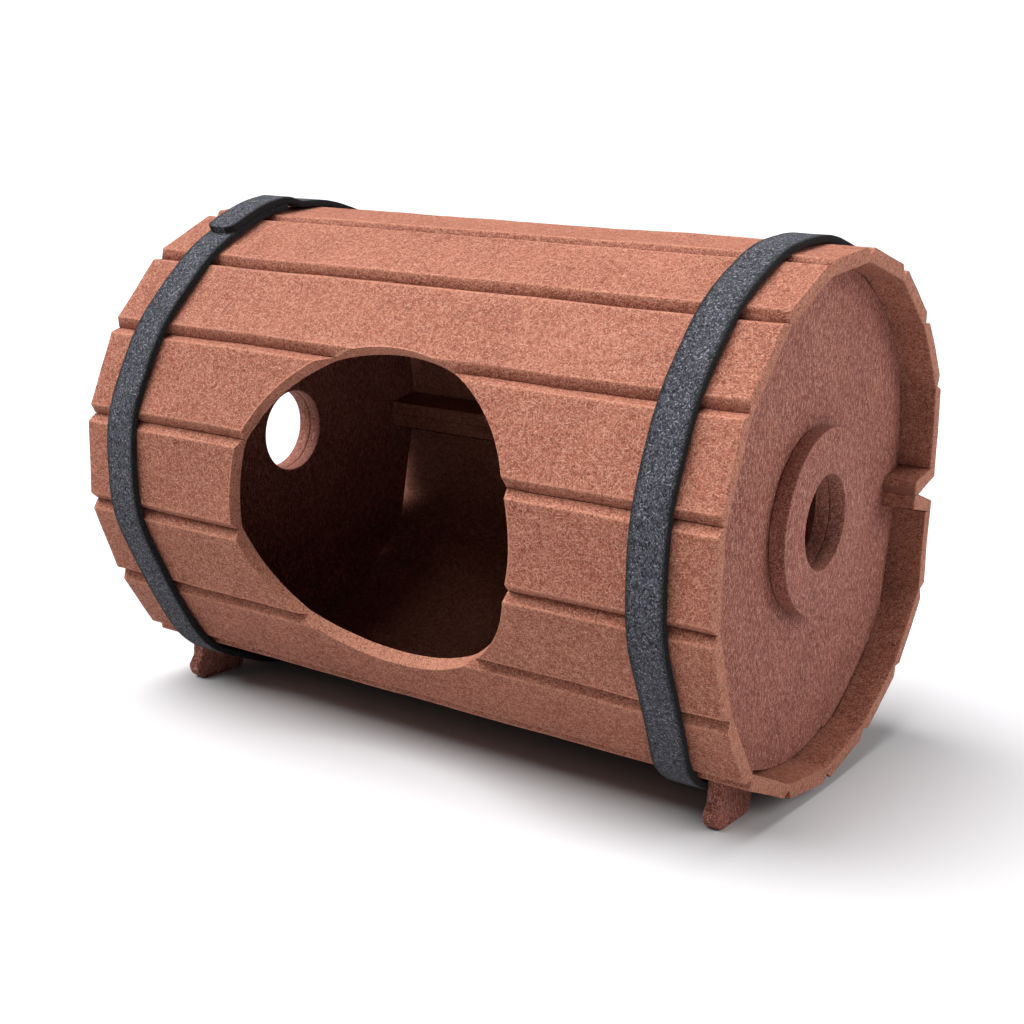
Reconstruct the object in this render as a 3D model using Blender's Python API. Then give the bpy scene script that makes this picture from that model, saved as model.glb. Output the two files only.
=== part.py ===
"""Felt cat house shaped like a barrel, in metres, +Z up, lying along X.

One thick felt sheet is scored with sixteen V grooves and bent into a barrel. Its two long
edges turn inwards and lie face to face along the back. Two grey felt straps run round the
barrel and hold it closed. A felt disc with a felt ring round its middle hole closes each
end. Two tabs of each disc pass down through slots in the wall: they are the feet.

Angles are in degrees, measured round the barrel's axis from the back (+Y) towards the top.
The origin is on the surface the barrel stands on, under the middle of its bounding box.
"""
import math

import bmesh
import bpy

# Barrel wall
BARREL_LENGTH = 0.500
FELT_THICKNESS = 0.010
GROOVE_HALF_ANGLE = 1.9
GROOVE_DEPTH = 0.0043
CREASE_DROP = 0.0092
CORNER_EASE = 0.0016
GAP = 0.0003

# One row for each groove: angle of its middle, distance of its outer corners from the axis
FOLDS = (
    (26.2, 0.1777),
    (46.2, 0.1751),
    (67.3, 0.1755),
    (87.8, 0.1764),
    (108.4, 0.1781),
    (129.0, 0.1797),
    (149.7, 0.1806),
    (170.7, 0.1819),
    (191.2, 0.1812),
    (211.8, 0.1785),
    (231.1, 0.1830),
    (253.0, 0.1775),
    (274.0, 0.1775),
    (294.7, 0.1788),
    (314.9, 0.1821),
    (335.3, 0.1832),
)

# Seam along the back: where the two turned-in flaps bend, meet and end, from the axis
SHOULDER_Y = 0.1663
SHOULDER_Z = 0.0089
SEAM_MEET_Y = 0.1373
FLAP_TIP_Y = 0.1289
FLAP_TIP_Z = 0.0099
FLAP_ROOT_Y = 0.1565
FLAP_ROOT_Z = 0.0154

# Round entrance, marked out on the flat sheet before it is bent
ENTRANCE_RADIUS = 0.1135
ENTRANCE_ANGLE = 183.0
SHEET_RADIUS = 0.178
CUTTER_INNER = 0.142
CUTTER_OUTER = 0.205
ENTRANCE_STEPS = 72

# End discs and the rings on them
DISC_RECESS = 0.0235
DISC_CLEARANCE = 0.0004
DISC_WINDOW = 9.0
DISC_STEP = 4.0
NOTCH_CLEARANCE = 0.0005
HOLE_RADIUS = 0.0317
RING_RADIUS = 0.062
RING_THICKNESS = 0.0112
RING_STEPS = 64

# Straps, and where the outer layer of each starts to lie on the inner one
STRAP_WIDTH = 0.024
STRAP_THICKNESS = 0.0048
STRAP_LAYER_GAP = 0.0004
STRAP_RAMP = 6.0
STRAP_RIGHT_START = 33.0
STRAP_LEFT_START = 101.6
STRAP_OVERLAP = 19.6

# Course of each strap, one row for each bend: angle, place of its middle along X.
# The straps pass the feet close by on their inner side.
RIGHT_COURSE = (
    (0.0, 0.2088),
    (195.0, 0.2088),
    (208.0, 0.2105),
    (216.0, 0.2095),
    (229.0, 0.2041),
    (314.0, 0.2041),
    (330.0, 0.2088),
    (360.0, 0.2088),
)
LEFT_COURSE = (
    (0.0, -0.2060),
    (100.0, -0.2055),
    (133.0, -0.2045),
    (150.0, -0.2085),
    (170.0, -0.2128),
    (190.0, -0.2110),
    (205.0, -0.2050),
    (214.0, -0.2038),
    (229.0, -0.2041),
    (314.0, -0.2041),
    (330.0, -0.2060),
    (360.0, -0.2060),
)

# Feet, tabs of the end discs with a toe that hooks under the wall, and their slots
AXIS_HEIGHT = 0.1828
FOOT_FRONT = 0.1000
FOOT_BACK = 0.0550
FOOT_NECK_HEIGHT = 0.0180
FOOT_TOE = 0.1045
FOOT_TOE_HEIGHT = 0.0110
FOOT_FLAT_FRONT = 0.0935
FOOT_HEEL = 0.005
SLOT_CLEARANCE = 0.0004
SLOT_TOP = -0.125
SLOT_BOTTOM = -0.190

# Colours, linear, and roughness of each felt
RUST_FELT = (0.42, 0.165, 0.105)
END_FELT = (0.25, 0.098, 0.073)
GREY_FELT = (0.050, 0.054, 0.061)
FELT_ROUGHNESS = 0.95


def clear_scene():
    for item in list(bpy.data.objects):
        bpy.data.objects.remove(item, do_unlink=True)


def felt(name, colour):
    """Matt Principled material for one kind of felt."""
    material = bpy.data.materials.new(name)
    material.use_nodes = True
    shader = material.node_tree.nodes["Principled BSDF"]
    shader.inputs["Base Color"].default_value = (*colour, 1.0)
    shader.inputs["Roughness"].default_value = FELT_ROUGHNESS
    shader.inputs["Metallic"].default_value = 0.0
    return material


def polar(angle, radius):
    """Section point (y, z) from the axis."""
    turn = math.radians(angle)
    return (radius * math.cos(turn), radius * math.sin(turn))


def eased(before, corner, after, ease):
    """Three points that round off one corner of an outline."""
    start = towards(corner, before, ease)
    end = towards(corner, after, ease)
    middle = tuple(0.25 * a + 0.5 * b + 0.25 * c for a, b, c in zip(start, corner, end))
    return [start, middle, end]


def towards(point, target, distance):
    """Point at a distance from one point in the direction of another."""
    span = math.dist(point, target)
    return tuple(a + (b - a) * distance / span for a, b in zip(point, target))


def fold_corners():
    """Outer corners of the planks, round the whole barrel from the back."""
    corners = [(SHOULDER_Y, SHOULDER_Z)]
    for angle, radius in FOLDS:
        corners.append(polar(angle - GROOVE_HALF_ANGLE, radius))
        corners.append(polar(angle + GROOVE_HALF_ANGLE, radius))
    corners.append((SHOULDER_Y, -SHOULDER_Z))
    return corners


def inner_outline():
    """Inner face of the wall, from the upper flap's root round to the lower one's."""
    points = [(FLAP_ROOT_Y, FLAP_ROOT_Z)]
    for angle, radius in FOLDS:
        points.append(polar(angle, radius - CREASE_DROP))
    points.append((FLAP_ROOT_Y, -FLAP_ROOT_Z))
    return points


def wall_outline():
    """Closed section of the scored and bent sheet."""
    half_gap = GAP / 2
    raw = [(SEAM_MEET_Y, half_gap), (SHOULDER_Y, SHOULDER_Z)]
    for angle, radius in FOLDS:
        raw.append(polar(angle - GROOVE_HALF_ANGLE, radius))
        raw.append(polar(angle, radius - GROOVE_DEPTH))
        raw.append(polar(angle + GROOVE_HALF_ANGLE, radius))
    raw.append((SHOULDER_Y, -SHOULDER_Z))
    raw.append((SEAM_MEET_Y, -half_gap))
    apexes = {2 + 3 * row + 1 for row in range(len(FOLDS))}
    outline = [(FLAP_TIP_Y, half_gap), raw[0]]
    for place in range(1, len(raw) - 1):
        if place in apexes:
            outline.append(raw[place])
        else:
            outline.extend(eased(raw[place - 1], raw[place], raw[place + 1], CORNER_EASE))
    outline.extend([raw[-1], (FLAP_TIP_Y, -half_gap), (FLAP_TIP_Y, -FLAP_TIP_Z)])
    outline.extend(reversed(inner_outline()))
    outline.append((FLAP_TIP_Y, FLAP_TIP_Z))
    return outline


def ray_length(outline, angle, closed):
    """Distance from the axis to an outline in one direction."""
    turn = math.radians(angle)
    along = (math.cos(turn), math.sin(turn))
    count = len(outline) if closed else len(outline) - 1
    best = None
    for place in range(count):
        start = outline[place]
        end = outline[(place + 1) % len(outline)]
        edge = (end[0] - start[0], end[1] - start[1])
        cross = along[0] * edge[1] - along[1] * edge[0]
        if abs(cross) < 1e-12:
            continue
        distance = (start[0] * edge[1] - start[1] * edge[0]) / cross
        share = (start[0] * along[1] - start[1] * along[0]) / cross
        if distance > 0 and -1e-9 <= share <= 1 + 1e-9:
            best = distance if best is None else min(best, distance)
    return best


def strap_path():
    """Corners that a tight band round the barrel touches, as a convex outline."""
    points = sorted(fold_corners())
    chains = []
    for ordered in (points, points[::-1]):
        chain = []
        for point in ordered:
            while len(chain) > 1 and turn_of(chain[-2], chain[-1], point) <= 0:
                chain.pop()
            chain.append(point)
        chains.append(chain[:-1])
    return chains[0] + chains[1]


def turn_of(first, second, third):
    """Positive where three points of a section turn to the left."""
    ahead = (second[0] - first[0], second[1] - first[1])
    beyond = (third[0] - first[0], third[1] - first[1])
    return ahead[0] * beyond[1] - ahead[1] * beyond[0]


def new_object(name, mesh, material):
    mesh.materials.append(material)
    item = bpy.data.objects.new(name, mesh)
    bpy.context.scene.collection.objects.link(item)
    return item


def mesh_from(build, name, sharp_degrees=30):
    """Mesh made by one build function, faces outwards, round faces smooth."""
    work = bmesh.new()
    build(work)
    bmesh.ops.recalc_face_normals(work, faces=work.faces)
    mesh = bpy.data.meshes.new(name)
    work.to_mesh(mesh)
    work.free()
    mesh.shade_smooth()
    mesh.set_sharp_from_angle(angle=math.radians(sharp_degrees))
    return mesh


def to_world(x, point):
    """World place of a section point, with the axis over the middle of the footprint."""
    return (x, point[0] + AXIS_Y, point[1] + AXIS_HEIGHT)


def extruded(outline, x_start, x_end):
    """Build function for a section drawn along X."""
    def build(work):
        rims = []
        for x in (x_start, x_end):
            rims.append([work.verts.new(to_world(x, point)) for point in outline])
        work.faces.new(rims[0])
        work.faces.new(reversed(rims[1]))
        bridge(work, rims[0], rims[1])
    return build


def bridge(work, first, second):
    """Join two closed rows of vertices with quads."""
    count = len(first)
    for place in range(count):
        after = (place + 1) % count
        work.faces.new((first[place], first[after], second[after], second[place]))


def circle(radius, steps):
    return [polar(360 * step / steps, radius) for step in range(steps)]


def annulus(outer_radius, inner_radius, x_start, x_end):
    """Build function for a flat ring about the axis."""
    def build(work):
        rows = []
        corners = (
            (outer_radius, x_start),
            (outer_radius, x_end),
            (inner_radius, x_end),
            (inner_radius, x_start),
        )
        for radius, x in corners:
            rows.append([work.verts.new(to_world(x, point)) for point in circle(radius, RING_STEPS)])
        for place in range(4):
            bridge(work, rows[place], rows[(place + 1) % 4])
    return build


def wall_cutter(work):
    """The entrance's plug and a block for each foot's slot."""
    entrance_plug(work)
    outside = BARREL_LENGTH / 2 - DISC_RECESS + SLOT_CLEARANCE
    inside = outside - FELT_THICKNESS - 2 * SLOT_CLEARANCE
    near = FOOT_BACK - SLOT_CLEARANCE
    far = FOOT_FRONT + SLOT_CLEARANCE
    for end in (-1, 1):
        for side in (-1, 1):
            rims = []
            for z in (SLOT_BOTTOM, SLOT_TOP):
                corners = ((inside, near), (outside, near), (outside, far), (inside, far))
                rims.append([work.verts.new(to_world(end * x, (side * y, z))) for x, y in corners])
            work.faces.new(rims[0])
            work.faces.new(rims[1])
            bridge(work, rims[0], rims[1])


def entrance_plug(work):
    """Round plug with radial sides, as the circle lies on the bent sheet."""
    rims = []
    for radius in (CUTTER_INNER, CUTTER_OUTER):
        rim = []
        for step in range(ENTRANCE_STEPS):
            turn = 2 * math.pi * step / ENTRANCE_STEPS
            swing = math.degrees(ENTRANCE_RADIUS * math.sin(turn) / SHEET_RADIUS)
            place = polar(ENTRANCE_ANGLE + swing, radius)
            rim.append(work.verts.new(to_world(ENTRANCE_RADIUS * math.cos(turn), place)))
        rims.append(rim)
        middle = work.verts.new(to_world(0.0, polar(ENTRANCE_ANGLE, radius)))
        for step in range(ENTRANCE_STEPS):
            work.faces.new((rim[step], rim[(step + 1) % ENTRANCE_STEPS], middle))
    bridge(work, rims[0], rims[1])


def cut(item, cutter):
    """Subtract a hidden cutter from an object."""
    cutter.hide_render = True
    cutter.display_type = "WIRE"
    modifier = item.modifiers.new("cut", "BOOLEAN")
    modifier.operation = "DIFFERENCE"
    modifier.solver = "EXACT"
    modifier.object = cutter


def barrel_wall(material):
    half = BARREL_LENGTH / 2
    mesh = mesh_from(extruded(wall_outline(), -half, half), "barrel_wall", 12)
    wall = new_object("barrel_wall", mesh, material)
    cut(wall, new_object("wall_cutter", mesh_from(wall_cutter, "wall_cutter"), material))


def foot_tab(side, reach):
    """One foot, from its root on a circle round the toe and back; side is -1 in front."""
    floor = -AXIS_HEIGHT
    points = [(FOOT_FRONT, -math.sqrt(reach ** 2 - FOOT_FRONT ** 2))]
    points.append((FOOT_FRONT, floor + FOOT_NECK_HEIGHT))
    spread = FOOT_TOE - FOOT_FLAT_FRONT
    for step in range(6):
        turn = math.radians(18 * step)
        y = FOOT_FLAT_FRONT + spread * math.cos(turn)
        points.append((y, floor + FOOT_TOE_HEIGHT * (1 - math.sin(turn))))
    for step in range(4):
        turn = math.radians(30 * step)
        y = FOOT_BACK + FOOT_HEEL * (1 - math.sin(turn))
        points.append((y, floor + FOOT_HEEL * (1 - math.cos(turn))))
    points.append((FOOT_BACK, -math.sqrt(reach ** 2 - FOOT_BACK ** 2)))
    outline = [(side * y, z) for y, z in points]
    return outline if side < 0 else outline[::-1]


def disc_outline():
    """Disc inside the wall with its two feet, notched where the flaps come through it."""
    points = disc_rim()
    for side in (-1, 1):
        covered = []
        for place, (y, z) in enumerate(points):
            if z < 0 and FOOT_BACK < side * y < FOOT_FRONT:
                covered.append(place)
        reach = min(math.hypot(*points[place]) for place in covered)
        points[covered[0]:covered[-1] + 1] = foot_tab(side, reach)
    return points


def disc_rim():
    """Points round the disc, from the notch's upper tip to its lower one."""
    inside = inner_outline()
    root = math.degrees(math.atan2(FLAP_ROOT_Z + NOTCH_CLEARANCE, FLAP_ROOT_Y))
    first = math.degrees(math.atan2(FLAP_ROOT_Z, FLAP_ROOT_Y))
    tip = (FLAP_TIP_Y - NOTCH_CLEARANCE, FLAP_TIP_Z + NOTCH_CLEARANCE)
    points = [tip]
    steps = round((360 - 2 * root) / DISC_STEP)
    for step in range(steps + 1):
        angle = root + (360 - 2 * root) * step / steps
        reach = []
        for shift in range(-6, 7):
            tried = angle + DISC_WINDOW * shift / 6
            tried = min(max(tried, first), 360 - first)
            reach.append(ray_length(inside, tried, False))
        points.append(polar(angle, min(reach) - DISC_CLEARANCE))
    points.append((tip[0], -tip[1]))
    return points


def end_disc(name, x_start, x_end, material):
    mesh = mesh_from(extruded(disc_outline(), x_start, x_end), name)
    disc = new_object(name, mesh, material)
    reach = FELT_THICKNESS
    hole = extruded(circle(HOLE_RADIUS, RING_STEPS), x_start - reach, x_end + reach)
    cut(disc, new_object(name + "_cutter", mesh_from(hole, name + "_cutter"), material))


def ends(material):
    """The same disc and ring at both ends."""
    outside = BARREL_LENGTH / 2 - DISC_RECESS
    inside = outside - FELT_THICKNESS
    ring_inside = outside + GAP
    ring_outside = ring_inside + RING_THICKNESS
    end_disc("end_disc_left", -outside, -inside, material)
    end_disc("end_disc_right", inside, outside, material)
    left = annulus(RING_RADIUS, HOLE_RADIUS, -ring_outside, -ring_inside)
    new_object("end_ring_left", mesh_from(left, "end_ring_left"), material)
    right = annulus(RING_RADIUS, HOLE_RADIUS, ring_inside, ring_outside)
    new_object("end_ring_right", mesh_from(right, "end_ring_right"), material)


def strap_rows(start):
    """Rows of a strap: angle, inner radius and half width, one turn and an overlap."""
    path = strap_path()
    end = start + 360 + STRAP_OVERLAP
    ramp_end = start + 360 - 0.2
    ramp_start = ramp_end - STRAP_RAMP
    corners = [math.degrees(math.atan2(z, y)) % 360 for y, z in path]
    angles = {start, ramp_start, ramp_end}
    for corner in corners:
        for turns in (0, 360, 720):
            if start + 0.4 < corner + turns < end - 4.5:
                angles.add(corner + turns)
    half = STRAP_WIDTH / 2
    rows = []
    for angle in sorted(angles):
        rows.append((angle, half))
    for inset in (0.9, 0.6, 0.3, 0.1, 0.0):
        from_tip = inset * half
        width = math.sqrt(half ** 2 - (half - from_tip) ** 2)
        angle = end - math.degrees(from_tip / SHEET_RADIUS)
        rows.append((angle, max(width, 0.25 * half)))
    result = []
    for angle, width in rows:
        climb = min(max((angle - ramp_start) / STRAP_RAMP, 0.0), 1.0)
        lift = GAP + climb * (STRAP_THICKNESS + STRAP_LAYER_GAP)
        result.append((angle, ray_length(path, angle, True) + lift, width))
    return result


def course_at(course, angle):
    """Place of a strap's middle along X at one angle."""
    turned = angle % 360
    for (low, near), (high, far) in zip(course, course[1:]):
        if low <= turned <= high:
            return near + (far - near) * (turned - low) / (high - low)


def strap(name, course, start, material):
    def build(work):
        rings = []
        for angle, radius, half in strap_rows(start):
            middle_x = course_at(course, angle)
            inner = polar(angle, radius)
            outer = polar(angle, radius + STRAP_THICKNESS)
            places = (
                to_world(middle_x - half, inner),
                to_world(middle_x + half, inner),
                to_world(middle_x + half, outer),
                to_world(middle_x - half, outer),
            )
            rings.append([work.verts.new(place) for place in places])
        for first, second in zip(rings, rings[1:]):
            bridge(work, first, second)
        work.faces.new(rings[0])
        work.faces.new(rings[-1])
    new_object(name, mesh_from(build, name), material)


def axis_y():
    """Shift that centres the widest section, a strap's, over the origin."""
    reach = []
    for start in (STRAP_LEFT_START, STRAP_RIGHT_START):
        for angle, radius, width in strap_rows(start):
            reach.append(polar(angle, radius + STRAP_THICKNESS)[0])
    return -(min(reach) + max(reach)) / 2


AXIS_Y = axis_y()


def main():
    clear_scene()
    rust = felt("rust_felt", RUST_FELT)
    ends_felt = felt("end_felt", END_FELT)
    grey = felt("grey_felt", GREY_FELT)
    barrel_wall(rust)
    ends(ends_felt)
    strap("strap_right", RIGHT_COURSE, STRAP_RIGHT_START, grey)
    strap("strap_left", LEFT_COURSE, STRAP_LEFT_START, grey)


main()
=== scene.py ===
"""Looks of the barrel-shaped felt house: fine felt meshes, procedural felt and soft light.

The frame is the CAD model: metres, +Z up, the barrel along X, its entrance towards -Y.
Section points are (y, z) from the barrel's axis, and angles are in degrees from the back
(+Y) towards the top.
"""
import math

import bmesh
import bpy
import numpy as np
from mathutils import Matrix, Vector, noise


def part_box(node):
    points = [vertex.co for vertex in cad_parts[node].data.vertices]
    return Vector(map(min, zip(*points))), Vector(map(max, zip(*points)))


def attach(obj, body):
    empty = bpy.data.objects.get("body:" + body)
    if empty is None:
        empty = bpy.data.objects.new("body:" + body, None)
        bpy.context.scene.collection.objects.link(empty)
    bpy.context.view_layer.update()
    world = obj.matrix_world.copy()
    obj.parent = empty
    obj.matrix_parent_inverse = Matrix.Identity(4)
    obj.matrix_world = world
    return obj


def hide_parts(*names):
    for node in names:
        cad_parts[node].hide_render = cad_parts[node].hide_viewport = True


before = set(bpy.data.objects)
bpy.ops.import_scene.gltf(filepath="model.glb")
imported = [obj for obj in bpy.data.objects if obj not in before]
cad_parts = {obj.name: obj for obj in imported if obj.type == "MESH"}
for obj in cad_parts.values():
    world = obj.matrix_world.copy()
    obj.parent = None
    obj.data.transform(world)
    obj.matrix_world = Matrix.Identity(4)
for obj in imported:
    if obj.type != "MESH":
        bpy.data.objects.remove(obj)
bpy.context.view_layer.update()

# Barrel wall, as in the CAD source but for its grooves, which are a little deeper
HALF_LENGTH = 0.250
CREASE_DROP = 0.0092
GROOVE_HALF_ANGLE = 1.9
GROOVE_DEPTH = 0.0050
FELT_THICKNESS = 0.010
GAP = 0.0003
SHEET_RADIUS = 0.178
INNER_EASE = 0.0016
RIM_EASE = 0.0005

# Soft plank corner, knife cut below each groove, reach of the corner's wear and painted highlight
PLANK_EASE = 0.0006
CREASE_HALF_ANGLE = 0.10
CREASE_CUT = 0.0018
EDGE_BAND_REACH = 0.0017

# Longest stretch of the section and longest step along X in the wall's mesh
SECTION_STEP = 0.0065
WALL_STEP = 0.0075

# One row for each groove: angle of its middle, distance of its outer corners from the axis
FOLDS = (
    (26.2, 0.1777),
    (46.2, 0.1751),
    (67.3, 0.1755),
    (87.8, 0.1764),
    (108.4, 0.1781),
    (129.0, 0.1797),
    (149.7, 0.1806),
    (170.7, 0.1819),
    (191.2, 0.1812),
    (211.8, 0.1785),
    (231.1, 0.1830),
    (253.0, 0.1775),
    (274.0, 0.1775),
    (294.7, 0.1788),
    (314.9, 0.1821),
    (335.3, 0.1832),
)

# Seam along the back
SHOULDER_Y = 0.1663
SHOULDER_Z = 0.0089
SEAM_MEET_Y = 0.1373
FLAP_TIP_Y = 0.1289
FLAP_TIP_Z = 0.0099
FLAP_ROOT_Y = 0.1565
FLAP_ROOT_Z = 0.0154
SLIT_DEPTH = 0.0070
SLIT_WIDTH = 0.0006
SLIT_LIFT = 0.0002

# Entrance, end discs and rings
ENTRANCE_RADIUS = 0.1135
ENTRANCE_ANGLE = 183.0
ENTRANCE_STEPS = 180
PLUG_INSIDE = 0.142
PLUG_OUTSIDE = 0.205
DISC_RADIUS = 0.165
DISC_RECESS = 0.0235
DISC_CLEARANCE = 0.0004
NOTCH_CLEARANCE = 0.0005
HOLE_RADIUS = 0.0317
RING_RADIUS = 0.062
RING_THICKNESS = 0.0112
PLATE_EASE = 0.0008
QUARTER_TURNS = (0.0, 22.5, 45.0, 67.5, 90.0)

# Straps, a little wider than in the CAD source
STRAP_WIDTH = 0.0252
STRAP_THICKNESS = 0.0048
STRAP_LAYER_GAP = 0.0004
STRAP_RAMP = 6.0
STRAP_RAMP_SLACK = 0.2
STRAP_OVERLAP = 19.6
STRAP_STEP = 0.8
STRAP_EASE = 0.0008
STRAP_COLUMNS = 8
TAB_CORNER = 0.0065
# Where the cut sides turn nearly black, darker felt with painted shade: start and blend
STRAP_SIDE_FROM = 0.0016
STRAP_SIDE_BLEND = 0.0010
STRAP_RIGHT_START = 33.0
STRAP_LEFT_START = 101.6

# Course of each strap, one row for each bend: angle, place of its middle along X
RIGHT_COURSE = (
    (0.0, 0.2092),
    (195.0, 0.2096),
    (208.0, 0.2105),
    (216.0, 0.2092),
    (229.0, 0.2036),
    (314.0, 0.2036),
    (330.0, 0.2092),
    (360.0, 0.2092),
)
LEFT_COURSE = (
    (0.0, -0.2060),
    (100.0, -0.2055),
    (133.0, -0.2045),
    (150.0, -0.2085),
    (170.0, -0.2128),
    (190.0, -0.2110),
    (205.0, -0.2050),
    (214.0, -0.2036),
    (229.0, -0.2036),
    (314.0, -0.2036),
    (330.0, -0.2060),
    (360.0, -0.2060),
)

# Feet, tabs of the end discs with a toe that hooks under the wall, and their slots
FOOT_FRONT = 0.1000
FOOT_BACK = 0.0550
FOOT_NECK_HEIGHT = 0.0180
FOOT_TOE = 0.1045
FOOT_TOE_HEIGHT = 0.0110
FOOT_FLAT_FRONT = 0.0935
FOOT_HEEL = 0.005
FOOT_ROOT = -0.132
FOOT_EASE = 0.0010
FOOT_SLACK = 0.00004
FLOOR_SNAP = 0.0006
SLOT_CLEARANCE = 0.0004
SLOT_TOP = -0.125
SLOT_BOTTOM = -0.190

# A strap's path is worked out in rows this many degrees apart, and softened over this many
# rows to each side: over the corners, for the parts that would cut in, and along X
BAND_GRID = 0.5
CORNER_ROWS = 22
SHORT_ROWS = 16
COURSE_ROWS = 12

# Turn, in degrees, from which an edge of a mesh stays sharp
SHARP_EDGE = 40
SHARP_PLATE_EDGE = 50

# Uneven felt: size of the noise and reach of each layer, and a seed for the same noise in
# every run
WALL_LAYERS = ((0.075, 0.0009), (0.022, 0.00035))
PLATE_LAYERS = ((0.060, 0.0003), (0.020, 0.00015))
STRAP_LAYERS = ((0.030, 0.0002), (0.009, 0.00012))
NOISE_SEED = 5

# Columns of points across an end disc and a ring, and degrees between a ring's rows
DISC_COLUMNS = 16
RING_COLUMNS = 5
RING_STEP = 3.0

# Place of the barrel's axis, from the frame
AXIS_HEIGHT = 0.1828
AXIS_Y = (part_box("end_ring_right")[0].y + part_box("end_ring_right")[1].y) / 2

# Felt colours, linear: dark, middle, light, fibre and pale edge, wear with painted highlight
RUST_TONES = (
    (0.122, 0.032, 0.018),
    (0.228, 0.072, 0.044),
    (0.318, 0.121, 0.080),
    (0.540, 0.290, 0.205),
    (0.500, 0.225, 0.148),
)
# Same columns for the end felt; the last is the pale edge, wear with painted highlight
END_TONES = (
    (0.098, 0.026, 0.019),
    (0.185, 0.054, 0.038),
    (0.281, 0.098, 0.072),
    (0.580, 0.310, 0.240),
    (0.370, 0.158, 0.115),
)

# Felt noise, in waves per metre: broad shade, clumps, grain and light specks
FELT_WAVES = (22.0, 300.0, 850.0, 1050.0)
STRAP_WAVES = (260.0, 700.0, 820.0)

# Fibres: width and length, then the noise from which they show and at which they are full
FELT_FIBRE = (0.00078, 0.0046, 0.60, 0.72)
STRAP_FIBRE = (0.0007, 0.0028, 0.60, 0.72)

# Directions of the fibres on the flat pieces, in degrees
WALL_FIBRE_TURNS = (15, 62, 108, 155)
END_FIBRE_TURNS = (-14, 0, 16)
STRAP_FIBRE_TURNS = (35, 80, 125)

# Strap felt colours, linear: dark, light, speck and cut side, darker felt with painted shade
GREY_DARK = (0.006, 0.007, 0.011)
GREY_LIGHT = (0.060, 0.060, 0.075)
GREY_SPECK = (0.29, 0.29, 0.33)
GREY_CUT_SIDE_AND_SHADE = (0.005, 0.005, 0.006)

# Studio: the floor's reach and paleness, and the lights, each as strength, spread in degrees
# and the direction it comes from
FLOOR_REACH = 30.0
FLOOR_COLOUR = (0.530, 0.525, 0.534)
BACKDROP_RADIUS = 32.0
FILL_STRENGTH = 0.20
KEY = (6.9, 58.0, (-0.35, -0.29, 1.0))
SIDE = (1.9, 42.0, (0.85, 0.45, 0.50))

# Camera, from the barrel's axis
CAMERA_PLACE = (0.6195, -0.9420, 0.2206)
CAMERA_YAW = -33.51
CAMERA_PITCH = -12.62
CAMERA_ROLL = 2.63
LENS_MM = 55.80
SENSOR_MM = 36.0
CAMERA_REACH = 100.0


def polar(angle, radius):
    turn = math.radians(angle)
    return (radius * math.cos(turn), radius * math.sin(turn))


def between(start, end, share):
    return (start[0] + (end[0] - start[0]) * share, start[1] + (end[1] - start[1]) * share)


def rounded(before, corner, after, ease, steps):
    """Points that round off one corner of a section."""
    start = between(corner, before, min(ease / math.dist(corner, before), 0.45))
    end = between(corner, after, min(ease / math.dist(corner, after), 0.45))
    points = []
    for step in range(steps + 1):
        share = step / steps
        points.append(between(between(start, corner, share), between(corner, end, share), share))
    return points


def filled(points, longest, closed):
    """The same outline with no stretch longer than a given length."""
    result = []
    count = len(points)
    for place in range(count if closed else count - 1):
        start = points[place]
        end = points[(place + 1) % count]
        parts = max(1, math.ceil(math.dist(start, end) / longest))
        for part in range(parts):
            result.append(between(start, end, part / parts))
    if not closed:
        result.append(points[-1])
    return result


def plank_corners():
    """Outer corners of the planks and of the two seam shoulders."""
    corners = [(SHOULDER_Y, SHOULDER_Z)]
    for angle, radius in FOLDS:
        corners.append(polar(angle - GROOVE_HALF_ANGLE, radius))
        corners.append(polar(angle + GROOVE_HALF_ANGLE, radius))
    corners.append((SHOULDER_Y, -SHOULDER_Z))
    return corners


def inner_outline():
    points = [(FLAP_ROOT_Y, FLAP_ROOT_Z)]
    for angle, radius in FOLDS:
        points.append(polar(angle, radius - CREASE_DROP))
    points.append((FLAP_ROOT_Y, -FLAP_ROOT_Z))
    return points


def wall_section():
    """Closed section of the bent sheet: each groove is a V whose crease is cut a little deeper."""
    half_gap = GAP / 2
    raw = [(SEAM_MEET_Y, half_gap), (SHOULDER_Y, SHOULDER_Z)]
    ease = [0.0, PLANK_EASE]
    for angle, radius in FOLDS:
        bottom = radius - GROOVE_DEPTH
        raw.append(polar(angle - GROOVE_HALF_ANGLE, radius))
        raw.append(polar(angle - CREASE_HALF_ANGLE, bottom))
        raw.append(polar(angle, bottom - CREASE_CUT))
        raw.append(polar(angle + CREASE_HALF_ANGLE, bottom))
        raw.append(polar(angle + GROOVE_HALF_ANGLE, radius))
        ease.extend((PLANK_EASE, 0.0, 0.0, 0.0, PLANK_EASE))
    raw.extend([(SHOULDER_Y, -SHOULDER_Z), (SEAM_MEET_Y, -half_gap)])
    ease.extend((PLANK_EASE, 0.0))
    outer = [raw[0]]
    for place in range(1, len(raw) - 1):
        before, corner, after = raw[place - 1:place + 2]
        if ease[place] > 0:
            outer.append(between(corner, before, EDGE_BAND_REACH / math.dist(corner, before)))
            outer.extend(rounded(before, corner, after, ease[place], 3))
            outer.append(between(corner, after, EDGE_BAND_REACH / math.dist(corner, after)))
        else:
            outer.append(corner)
    outer.append(raw[-1])
    inside = inner_outline()
    inner = []
    for place in range(1, len(inside) - 1):
        inner.extend(rounded(*inside[place - 1:place + 2], INNER_EASE, 3))
    outline = [(FLAP_TIP_Y, half_gap)] + outer
    outline += [(FLAP_TIP_Y, -half_gap), (FLAP_TIP_Y, -FLAP_TIP_Z)] + slit_points(-1)
    outline += inner[::-1] + slit_points(1)[::-1] + [(FLAP_TIP_Y, FLAP_TIP_Z)]
    return filled(outline, SECTION_STEP, True)


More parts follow.
